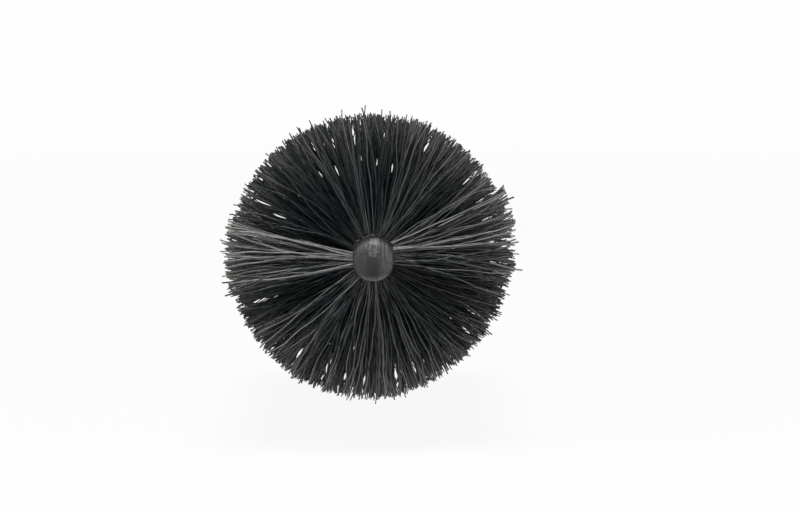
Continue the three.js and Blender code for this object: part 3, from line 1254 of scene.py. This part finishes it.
@dataclass
class TwistedStem:
    """The two wires, twisted together with a left-hand lay."""

    wire_front: float = 5.7 * MM
    wire_back: float = 263.7 * MM
    start_turns: tuple[tuple[str, float], ...] = (("upper", 0.25), ("lower", 0.75))
    steps: int = 640
    sides: int = 14
    finish: GalvanisedWire = field(default_factory=GalvanisedWire)

    def tree(self, values: dict[str, Any]) -> NodeTree:
        """Makes the tree that winds one wire.

        Args:
            values: The inputs of either wire.

        Returns:
            The Geometry Nodes tree.
        """
        tree = new_tree("twisted_wire", values)
        add = partial(add_node, tree)
        size = add("NodeGroupInput").outputs
        share = add("GeometryNodeSplineParameter").outputs["Factor"]
        axial = add(RANGE, [share, 0.0, 1.0, size["Front"], size["Back"]])
        closed = add(MATH, [size["Head Back"], size["Close Up Length"]], operation="ADD")
        offsets = [size["Gripping Offset"], size["Closed Offset"]]
        closing = [axial, size["Head Back"], closed, *offsets]
        offset = add(RANGE, closing, interpolation_type="SMOOTHSTEP")
        from_front = add(MATH, [axial, size["Head Front"]], operation="SUBTRACT")
        laps = add(MATH, [from_front, size["Twist Pitch"]], operation="DIVIDE")
        turns = add(MATH, [laps, size["Start Turn"]], operation="ADD")
        angle = add(MATH, [turns, -TAU], operation="MULTIPLY")
        wound = {"Vector": add(JOIN, {"X": offset, "Y": axial}), "Angle": angle}
        turned = add("ShaderNodeVectorRotate", wound, rotation_type="Y_AXIS")
        line = start_line(tree)
        wire = add("GeometryNodeSetPosition", {"Geometry": line, "Position": turned})
        radius = add(MATH, [size["Wire Diameter"], 0.5], operation="MULTIPLY")
        thicken(tree, lay_down(tree, wire), radius)
        return tree

    def values(self, start_turn: float, material: Material) -> dict[str, Any]:
        """Gives the tree's inputs for one wire.

        Args:
            start_turn: The turn of the twist at which the wire starts.
            material: The wires' material.

        Returns:
            The value of each named input.
        """
        return {
            "Steps": self.steps,
            "Sides": self.sides,
            "Front": self.wire_front,
            "Back": self.wire_back,
            "Head Front": SIZES.head_front,
            "Head Back": SIZES.head_back,
            "Close Up Length": SIZES.close_up_length,
            "Gripping Offset": SIZES.gripping_offset,
            "Closed Offset": SIZES.closed_offset,
            "Twist Pitch": SIZES.twist_pitch,
            "Start Turn": start_turn,
            "Wire Diameter": SIZES.wire_diameter,
            "Tip": PLACE.tip,
            "Tilt": PLACE.tilt,
            "Material": material,
        }

    def build(self) -> None:
        """Winds both wires and hands them over."""
        material = self.finish.material()
        tree = self.tree(self.values(0.0, material))
        for name, start_turn in self.start_turns:
            piece = run_tree(f"{name}_twisted_wire", tree, self.values(start_turn, material))
            hand_over(piece, Slot.WIRE, f"stem_wire_{name}")


def lathe(name: str, profile: Iterable[Span], segments: int) -> Mesh:
    """Turns a profile round the brush's axis.

    Args:
        name: The mesh's name.
        profile: Radius and place along the axis, from one point on the axis to another.
        segments: How many steps go round.

    Returns:
        The closed mesh.
    """
    shape = bmesh.new()
    angles = [TAU * step / segments for step in range(segments)]
    rings = []
    for radius, y in profile:
        if radius < TOUCHING:
            rings.append([shape.verts.new((0.0, y, 0.0))] * segments)
            continue
        places = [(radius * math.cos(angle), y, radius * math.sin(angle)) for angle in angles]
        rings.append([shape.verts.new(place) for place in places])
    for before, after in zip(rings, rings[1:]):
        for step in range(segments):
            follow = (step + 1) % segments
            corners = [before[step], before[follow], after[follow], after[step]]
            shape.faces.new(list(dict.fromkeys(corners)))
    bmesh.ops.recalc_face_normals(shape, faces=shape.faces)
    mesh = bpy.data.meshes.new(name)
    shape.to_mesh(mesh)
    shape.free()
    return mesh


# Tip cap


@dataclass
class TipCap:
    """The domed cap with a flat on each side and a ragged bead at its foot."""

    length: float = 10.0 * MM
    radius: float = 5.0 * MM
    dome_height: float = 4.0 * MM
    dome_squareness: float = 3.0
    dome_steps: int = 28
    side_steps: int = 7
    flat_depth: float = 0.6 * MM
    flat_edge: float = 0.14 * MM
    farthest_over: float = 50.0
    bead_flat: float = 4.45 * MM
    bead_height: float = 0.5 * MM
    bead_length: float = 1.4 * MM
    bead_fullness: float = 0.6
    bead_steps: int = 12
    bead_lump: float = 0.42 * MM
    bead_raggedness: float = 0.45 * MM
    bead_slant: float = 0.5
    socket_radius: float = 3.6 * MM
    socket_steps: int = 5
    tip_wall: float = 4.5 * MM
    segments: int = 224
    finish: SatinBlackMoulding = field(default_factory=SatinBlackMoulding)

    @property
    def bead_front(self) -> float:
        """Gives the place where the bead starts."""
        return self.length - self.bead_length

    def profile(self) -> list[Span]:
        """Gives the cap's section from the tip, round the foot and up its socket.

        Returns:
            Radius and place along the axis of each ring.
        """
        power = 2.0 / self.dome_squareness
        rings = [(0.0, 0.0)]
        for step in range(1, self.dome_steps + 1):
            angle = step / self.dome_steps * math.pi / 2
            depth = 1.0 - abs(math.cos(angle)) ** power
            rings.append((self.radius * math.sin(angle) ** power, self.dome_height * depth))
        side = self.bead_front - self.dome_height
        for step in range(1, self.side_steps + 1):
            rings.append((self.radius, self.dome_height + side * step / self.side_steps))
        for step in range(1, self.bead_steps):
            swell = math.sin(math.pi * step / self.bead_steps) ** self.bead_fullness
            y = self.bead_front + self.bead_length * step / self.bead_steps
            rings.append((self.radius + self.bead_height * swell, y))
        rings.append((self.radius, self.length))
        rings.append(((self.radius + self.socket_radius) / 2, self.length))
        depth = self.tip_wall - self.length
        for step in range(self.socket_steps + 1):
            rings.append((self.socket_radius, self.length + depth * step / self.socket_steps))
        rings.append((0.0, self.tip_wall))
        return rings

    def moulded(self, point: Vector) -> Vector:
        """Moves a point of the turned cap to the flats or the ragged bead.

        Args:
            point: The point in the brush's own frame.

        Returns:
            Its place on the finished cap.
        """
        outer = math.hypot(point.x, point.z)
        if outer < self.socket_radius + TOUCHING and point.y > self.dome_height:
            return point
        beaded = outer > self.radius and point.y > self.bead_front
        limit = self.bead_flat if beaded else self.radius - self.flat_depth

        # The edge of the flat is rounded, and a limit keeps the exponent in range
        over = min((abs(point.x) - limit) / self.flat_edge, self.farthest_over)
        eased = self.flat_edge * math.log1p(math.exp(over))
        x = math.copysign(max(abs(point.x) - eased, 0.0), point.x)
        flat = Vector((x, point.y, point.z))
        if not beaded:
            return flat

        # The bead was squeezed out upward and to the left
        lump = noise.noise(flat / self.bead_lump)
        squeezed = 0.5 + 0.5 * (flat.z - self.bead_slant * flat.x) / outer
        swell = (outer - self.radius) * (max(squeezed, 0.0) - 1.0)
        grow = 1.0 + (self.bead_raggedness * lump * squeezed + swell) / outer
        return Vector((flat.x * grow, flat.y, flat.z * grow))

    def build(self) -> None:
        """Shapes the cap and hands it over."""
        mesh = lathe("tip_cap_moulding", self.profile(), self.segments)
        for vert in mesh.vertices:
            vert.co = self.moulded(vert.co.copy())
        dress(mesh, self.finish)
        hand_over(new_piece("tip_cap_moulding", mesh), Slot.CAP, "tip_cap")


# Handle


@dataclass
class Handle:
    """The moulded grip with its neck, its stem socket and its hanging eye."""

    length: float = 125.0 * MM
    thickness: float = 14.2 * MM
    width: float = 26.0 * MM
    edge_radius: float = 2.5 * MM
    edge_steps: int = 6
    end_steps: int = 48
    shoulder_length: float = 26.0 * MM
    shoulder_steps: int = 32
    neck_length: float = 16.0 * MM
    neck_radius: float = 5.3 * MM
    neck_chamfer: float = 1.0 * MM
    neck_step: float = 0.3 * MM
    socket_radius: float = 3.1 * MM
    socket_end_wall: float = 35.0 * MM
    socket_overrun: float = 1.0 * MM
    turned_steps: int = 96
    eye_width: float = 9.0 * MM
    eye_length: float = 22.0 * MM
    eye_wall: float = 8.5 * MM
    eye_steps: int = 24
    voxel: float = 0.45 * MM
    softening: float = 0.5
    softening_rounds: int = 10
    finish: GrainedBlackMoulding = field(default_factory=GrainedBlackMoulding)

    @property
    def back(self) -> float:
        """Gives the place of the far end."""
        return SIZES.handle_front + self.length

    def plan(self) -> list[Span]:
        """Gives the grip's outline seen from above.

        Returns:
            The outline's points, in order.
        """
        half = self.width / 2
        grip_front = SIZES.handle_front + self.neck_length
        centre = self.back - half
        right = []
        for step in range(self.shoulder_steps + 1):
            share = step / self.shoulder_steps
            blend = share * share * (3.0 - 2.0 * share)
            x = self.neck_radius + (half - self.neck_radius) * blend
            right.append((x, grip_front + self.shoulder_length * share))
        angles = [math.pi * step / self.end_steps for step in range(self.end_steps + 1)]
        end = [(half * math.cos(angle), centre + half * math.sin(angle)) for angle in angles]
        return right + end + [(-x, y) for x, y in reversed(right)]

    def eye(self) -> list[Span]:
        """Gives the outline of the hanging eye.

        Returns:
            The slot's points, in order.
        """
        radius = self.eye_width / 2
        back = self.back - self.eye_wall - radius
        front = back - self.eye_length + self.eye_width
        points = []
        for centre, start in ((back, 0.0), (front, math.pi)):
            for step in range(self.eye_steps + 1):
                angle = start + math.pi * step / self.eye_steps
                points.append((radius * math.cos(angle), centre + radius * math.sin(angle)))
        return points

    def grip_mesh(self) -> Mesh:
        """Makes the grip as a flat outline with rounded edges.

        Returns:
            The grip's closed mesh.
        """
        curve = bpy.data.curves.new("grip_plan", "CURVE")
        curve.dimensions = "2D"
        curve.fill_mode = "BOTH"
        curve.extrude = self.thickness / 2 - self.edge_radius
        curve.bevel_depth = self.edge_radius
        curve.bevel_resolution = self.edge_steps
        curve.offset = -self.edge_radius
        for points in (self.plan(), self.eye()):
            spline = curve.splines.new("POLY")
            spline.points.add(len(points) - 1)
            for point, (x, y) in zip(spline.points, points):
                point.co = (x, y, 0.0, 1.0)
            spline.use_cyclic_u = True
        carrier = new_piece("grip_plan", curve)
        depsgraph = bpy.context.evaluated_depsgraph_get()
        mesh = bpy.data.meshes.new_from_object(carrier.evaluated_get(depsgraph))
        bpy.data.objects.remove(carrier)
        shape = bmesh.new()
        shape.from_mesh(mesh)
        bmesh.ops.remove_doubles(shape, verts=shape.verts, dist=TOUCHING)
        bmesh.ops.recalc_face_normals(shape, faces=shape.faces)
        shape.to_mesh(mesh)
        shape.free()
        return mesh

    def neck_and_socket(self) -> tuple[Object, Object]:
        """Makes the turned shapes that are joined to the grip and bored from it.

        Returns:
            The neck and the socket.
        """
        front = SIZES.handle_front
        neck_back = front + self.neck_length + self.edge_radius
        socket_back = self.back - self.eye_wall - self.eye_length - self.socket_end_wall
        neck = [
            (0.0, front),
            (self.neck_radius - self.neck_chamfer, front),
            (self.neck_radius, front + self.neck_chamfer),
            (self.thickness / 2 - self.neck_step, neck_back),
            (0.0, neck_back + self.neck_radius),
        ]
        socket = [
            (0.0, front - self.socket_overrun),
            (self.socket_radius, front - self.socket_overrun),
            (self.socket_radius, socket_back),
            (0.0, socket_back),
        ]
        return (
            new_piece("neck", lathe("neck", neck, self.turned_steps)),
            new_piece("socket", lathe("socket", socket, self.turned_steps)),
        )

    def build(self) -> None:
        """Joins, bores and smooths the handle and hands it over."""
        piece = new_piece("moulded_handle", self.grip_mesh())
        tools = self.neck_and_socket()
        for operation, tool in zip(("UNION", "DIFFERENCE"), tools):
            modifier = piece.modifiers.new(operation.lower(), "BOOLEAN")
            modifier.operation = operation
            modifier.solver = "EXACT"
            modifier.object = tool
        remesh = piece.modifiers.new("even_skin", "REMESH")
        remesh.mode = "VOXEL"
        remesh.voxel_size = self.voxel
        smooth = piece.modifiers.new("soft_edges", "SMOOTH")
        smooth.factor = self.softening
        smooth.iterations = self.softening_rounds
        plain_mesh(piece)
        for tool in tools:
            bpy.data.objects.remove(tool)
        dress(piece.data, self.finish)
        hand_over(piece, Slot.HANDLE, "handle")


# Studio


@dataclass
class Softbox:
    """A square lamp that shines evenly at the brush's head."""

    name: str
    place: Triple
    side: float
    radiance: float

    def build(self, aim: Vector) -> None:
        """Adds the lamp.

        Args:
            aim: The point that it faces.
        """
        lamp = bpy.data.lights.new(self.name, "AREA")
        lamp.shape = "SQUARE"
        lamp.size = self.side
        lamp.energy = self.radiance * math.pi * self.side**2
        new_facing(self.name, lamp, Vector(self.place), aim)


@dataclass
class Studio:
    """A white sweep under soft light, and the camera at the photograph's viewing angle."""

    floor_side: float = 200.0
    paper: str = "#f6f6f6"
    glow: Span = (0.92, 0.985)
    glow_distance: Span = (0.20, 0.80)
    world_light: float = 0.07
    sweep: Span = (0.05, 0.25)
    camera_distance: float = 900.0 * MM
    cap_depth: float = 4.5 * MM
    focal_pixels: float = 4050.0
    frame_pixels: Span = (800.0, 512.0)
    cap_pixel: Span = (373.3, 258.9)
    sensor_width: float = 36.0
    nearest_seen: float = 10.0 * MM
    softboxes: tuple[Softbox, ...] = (
        Softbox("top_softbox", (0.0, -0.73, 1.44), 0.60, 16.4),
        Softbox("left_softbox", (-1.05, -0.75, 0.95), 0.45, 6.3),
        Softbox("right_softbox", (1.20, -0.75, 0.45), 0.40, 5.0),
    )

    def seen(self, tree: NodeTree) -> Node:
        """Adds the test for rays that show the background.

        Args:
            tree: The tree that gets it.

        Returns:
            A node that gives 1 for camera, glossy and transmission rays.
        """
        path = add_node(tree, "ShaderNodeLightPath").outputs
        direct = [path["Is Camera Ray"], path["Is Glossy Ray"]]
        shown = add_node(tree, MATH, direct, operation="MAXIMUM")
        return add_node(tree, MATH, [shown, path["Is Transmission Ray"]], operation="MAXIMUM")

    def build_world(self) -> None:
        """Makes the weak even light all round, with the paper's sweep rising behind the floor."""
        world = bpy.data.worlds.new("studio_walls")
        add = partial(add_node, cleared_tree(world))
        direction = add("ShaderNodeTexCoord").outputs["Generated"]
        height = add(SPLIT, [direction]).outputs["Z"]
        sweep = add(RANGE, [height, *self.sweep, 1.0, self.world_light])
        shares = [self.seen(world.node_tree), self.world_light, sweep]
        strength = add(MIX, shares, data_type="FLOAT")
        light = add("ShaderNodeBackground", {"Color": WHITE, "Strength": strength})
        add("ShaderNodeOutputWorld", {"Surface": light})
        bpy.context.scene.world = world

    def paper_material(self) -> Material:
        """Makes the paper, which glows a little less near the brush and so keeps its shadow.

        Returns:
            The floor's material.
        """
        material = bpy.data.materials.new("white_paper")
        add = partial(add_node, cleared_tree(material))
        paper = add("ShaderNodeBsdfDiffuse", {"Color": linear(self.paper)})
        glow = add("ShaderNodeEmission", {"Color": WHITE, "Strength": 1.0})
        place = add("ShaderNodeTexCoord").outputs["Object"]
        away = add(VECTOR, [place], operation="LENGTH").outputs["Value"]
        whitening = [away, *self.glow_distance, *self.glow]
        whiter = add(RANGE, whitening, interpolation_type="SMOOTHSTEP")
        share = add(MATH, [self.seen(material.node_tree), whiter], operation="MULTIPLY")
        mixed = add("ShaderNodeMixShader", [share, paper, glow])
        add("ShaderNodeOutputMaterial", {"Surface": mixed})
        return material

    def build_floor(self) -> None:
        """Lays the white paper under the brush."""
        half = self.floor_side / 2
        mesh = bpy.data.meshes.new("paper_sweep")
        corners = [(-half, -half, 0.0), (half, -half, 0.0), (half, half, 0.0), (-half, half, 0.0)]
        mesh.from_pydata(corners, [], [(0, 1, 2, 3)])
        mesh.materials.append(self.paper_material())
        new_piece("paper_sweep", mesh)

    def build_camera(self) -> None:
        """Sets the camera on the brush's axis, aimed so that the cap lies where it was seen."""
        on_axis = Vector((0.0, self.cap_depth, 0.0))
        cap = PLACE.matrix() @ on_axis
        place = PLACE.matrix() @ (on_axis - Vector((0.0, self.camera_distance, 0.0)))
        toward = (place - cap).normalized()
        right = Vector((0.0, 0.0, 1.0)).cross(toward).normalized()
        up = toward.cross(right)
        metres = self.camera_distance / self.focal_pixels
        across = self.frame_pixels[0] / 2 - self.cap_pixel[0]
        down = self.frame_pixels[1] / 2 - self.cap_pixel[1]
        aim = cap + (right * across - up * down) * metres
        lens = bpy.data.cameras.new("photo_camera")
        lens.sensor_fit = "HORIZONTAL"
        lens.sensor_width = self.sensor_width
        lens.lens = self.focal_pixels / self.frame_pixels[0] * self.sensor_width
        lens.clip_start = self.nearest_seen
        bpy.context.scene.camera = new_facing("photo_camera", lens, place, aim)

    def build(self) -> None:
        """Sets up light, floor and camera."""
        bpy.context.scene.view_settings.view_transform = "Standard"
        self.build_world()
        self.build_floor()
        for softbox in self.softboxes:
            softbox.build(Vector(PLACE.tip))
        self.build_camera()


def main() -> None:
    """Builds the brush and its studio."""
    logging.basicConfig(level=logging.INFO, format="%(name)s: %(message)s")
    Studio().build()
    BristleHead().build()
    TwistedStem().build()
    TipCap().build()
    Handle().build()


if __name__ == "__main__":
    main()
